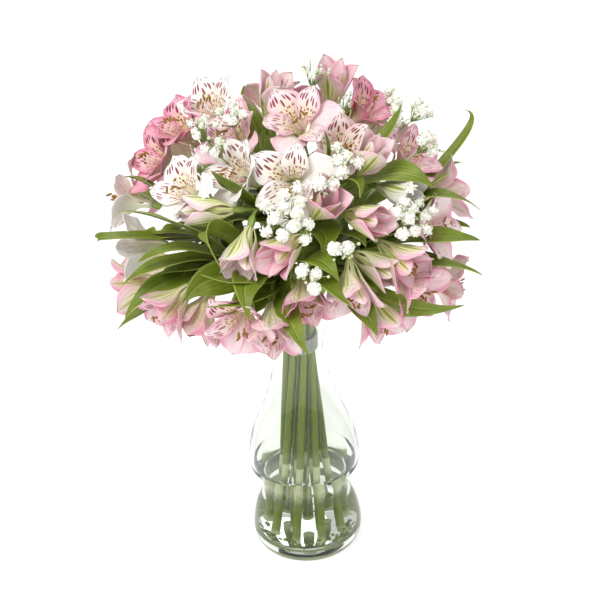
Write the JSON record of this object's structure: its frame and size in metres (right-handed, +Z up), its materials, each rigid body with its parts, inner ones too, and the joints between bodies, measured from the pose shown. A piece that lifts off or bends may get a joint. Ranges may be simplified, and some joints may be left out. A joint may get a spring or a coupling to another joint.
{
  "type": "alstroemeria bouquet in a glass vase",
  "caption": "Hand-tied bunch of pink and white alstroemeria with baby's breath in a waisted clear glass vase of water.",
  "frame": {"origin": "centre of the vase's underside, on the surface that it stands on", "axes": "+Z up along the vase; -Y towards the front, the side with the large white blooms; +X to the right seen from the front"},
  "size_m": [0.284, 0.2813, 0.4191],
  "materials": {
    "glass": "polished",
    "water": "gloss",
    "string": "matte",
    "foliage": "satin",
    "tepal_white": "satin",
    "tepal_blush": "satin",
    "tepal_pink": "satin",
    "tepal_rose": "satin",
    "floret": "matte"
  },
  "bodies": {
    "root": {"vase": "glass", "tie": "string", "water": "water", "bloom_01": "tepal_blush", "bloom_02": "tepal_blush", "bloom_03": "tepal_pink", "bloom_04": "tepal_blush", "bloom_05": "tepal_white", "bloom_06": "tepal_pink", "bloom_07": "tepal_pink", "bloom_08": "tepal_pink", "bloom_09": "tepal_blush", "bloom_10": "tepal_pink", "bloom_11": "tepal_blush", "bloom_12": "tepal_pink", "bloom_13": "tepal_pink", "bloom_14": "tepal_pink", "bloom_15": "tepal_white", "bloom_16": "tepal_white", "bloom_17": "tepal_white", "bloom_18": "tepal_pink", "bloom_19": "tepal_rose", "bloom_20": "tepal_rose", "bloom_21": "tepal_white", "bloom_22": "tepal_blush", "bloom_23": "tepal_rose", "bloom_24": "tepal_blush", "bloom_25": "tepal_pink", "bloom_26": "tepal_pink", "bloom_27": "tepal_pink", "bloom_28": "tepal_pink", "bloom_29": "tepal_pink", "bloom_30": "tepal_white", "bloom_31": "tepal_white", "bloom_32": "tepal_pink", "bloom_33": "tepal_blush", "bloom_34": "tepal_white", "bloom_35": "tepal_pink", "bloom_36": "tepal_pink", "bloom_37": "tepal_blush", "bloom_38": "tepal_white", "bloom_39": "tepal_rose", "bloom_40": "tepal_blush", "bloom_41": "tepal_pink", "bloom_42": "tepal_pink", "leafy_stem_01": "foliage", "leafy_stem_02": "foliage", "leafy_stem_03": "foliage", "leafy_stem_04": "foliage", "leafy_stem_05": "foliage", "leafy_stem_06": "foliage", "leafy_stem_07": "foliage", "leafy_stem_08": "foliage", "leafy_stem_09": "foliage", "leafy_stem_10": "foliage", "leafy_stem_11": "foliage", "spray_1": "floret", "spray_2": "floret", "spray_3": "floret", "spray_4": "floret"}
  },
  "joints": []
}
